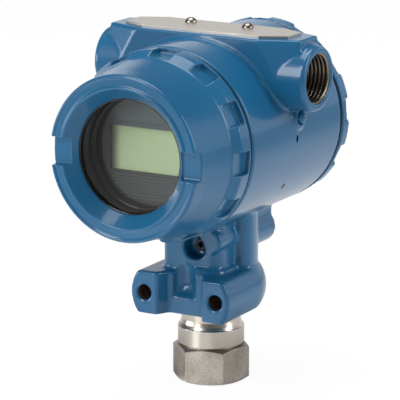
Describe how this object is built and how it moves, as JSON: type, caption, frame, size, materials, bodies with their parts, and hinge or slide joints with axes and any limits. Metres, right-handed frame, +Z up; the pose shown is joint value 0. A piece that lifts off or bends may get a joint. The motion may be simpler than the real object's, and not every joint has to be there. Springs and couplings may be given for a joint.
{
  "type": "pressure transmitter",
  "caption": "Field pressure transmitter: round two-chamber housing with a display window, screw covers, conduit entries, name plate, bracket block and a hexagonal process connection.",
  "frame": {"origin": "centre of the bottom face of the process connection, on the Z axis of the stem", "axes": "+Z up along the stem; -Y the way the display looks, along the barrel axis; +X to the right of somebody who reads the display"},
  "size_m": [0.0998, 0.1217, 0.1529],
  "materials": {
    "stainless_bead_blasted": "bead-blasted stainless steel",
    "stainless_turned": "turned stainless steel, polished shoulder",
    "stainless_foil": "rolled stainless foil",
    "stainless_cell": "turned stainless steel",
    "circuit_board": "green solder resist",
    "header_steel": "plated steel with glass seals",
    "housing_paint": "satin blue polyurethane paint on die-cast aluminium",
    "nameplate_stainless": "brushed stainless steel sheet",
    "drive_screw_steel": "zinc-plated steel",
    "black_oxide_steel": "black-oxide steel",
    "painted_screw": "steel, painted over",
    "cup_plastic": "glass-filled nylon, black",
    "potting_resin": "cast epoxy, black",
    "electronics_board_green": "green solder resist",
    "ribbon_plastic": "grey flat cable",
    "bezel_plastic": "moulded dark grey ABS",
    "lcd_glass": "reflective liquid-crystal panel, switched off",
    "display_board_green": "green solder resist",
    "spacer_plastic": "black nylon",
    "bush_plastic": "moulded phenolic",
    "terminal_plastic": "moulded phenolic, black",
    "terminal_screw_nickel": "nickel-plated",
    "ground_screw_stainless": "stainless steel",
    "display_cover_paint": "satin blue polyurethane paint on die-cast aluminium",
    "gasket_rubber": "moulded black rubber",
    "window_glass": "clear toughened glass",
    "retainer_black": "black-anodised aluminium",
    "terminal_cover_paint": "satin blue polyurethane paint on die-cast aluminium",
    "display_oring_rubber": "moulded nitrile",
    "terminal_oring_rubber": "moulded nitrile"
  },
  "bodies": {
    "base": {"process_connection": "stainless_bead_blasted", "sensor_module": "stainless_turned", "isolating_diaphragm": "stainless_foil", "pressure_sensor": "stainless_cell", "sensor_board": "circuit_board", "sensor_header": "header_steel"},
    "housing": {"housing": "housing_paint", "nameplate": "nameplate_stainless", "nameplate_screws": "drive_screw_steel", "lock_screw": "black_oxide_steel", "side_screw": "painted_screw", "electronics_cup": "cup_plastic", "potting": "potting_resin", "electronics_board": "electronics_board_green", "ribbon": "ribbon_plastic", "display_bezel": "bezel_plastic", "lcd_panel": "lcd_glass", "display_board": "display_board_green", "display_spacer": "spacer_plastic", "feedthrough": "bush_plastic", "terminal_block": "terminal_plastic", "terminal_screws": "terminal_screw_nickel", "ground_screw": "ground_screw_stainless"},
    "display_carrier": {"display_cover_oring": "display_oring_rubber"},
    "display_cover": {"display_cover": "display_cover_paint", "window_gasket": "gasket_rubber", "window_glass": "window_glass", "window_retainer": "retainer_black"},
    "terminal_carrier": {"terminal_cover_oring": "terminal_oring_rubber"},
    "terminal_cover": {"terminal_cover": "terminal_cover_paint"}
  },
  "joints": [
    {"name": "housing_swivel", "type": "hinge", "parent": "base", "child": "housing", "pos_m": [0, 0, 0.05], "axis": [0, 0, 1], "range_deg": [-180, 180]},
    {"name": "display_cover_travel", "type": "slide", "parent": "housing", "child": "display_carrier", "axis": [0, -1, 0], "range_m": [0, 0.012]},
    {"name": "display_cover_turn", "type": "hinge", "parent": "display_carrier", "child": "display_cover", "pos_m": [0, 0, 0.1084], "axis": [0, -1, 0], "range_deg": [0, 2160]},
    {"name": "terminal_cover_travel", "type": "slide", "parent": "housing", "child": "terminal_carrier", "axis": [0, 1, 0], "range_m": [0, 0.012]},
    {"name": "terminal_cover_turn", "type": "hinge", "parent": "terminal_carrier", "child": "terminal_cover", "pos_m": [0, 0, 0.1084], "axis": [0, 1, 0], "range_deg": [0, 2160]}
  ],
  "couplings": [
    {"joint": "display_cover_travel", "follows": "display_cover_turn", "m_per_rad": 0.00031831},
    {"joint": "terminal_cover_travel", "follows": "terminal_cover_turn", "m_per_rad": 0.00031831}
  ]
}
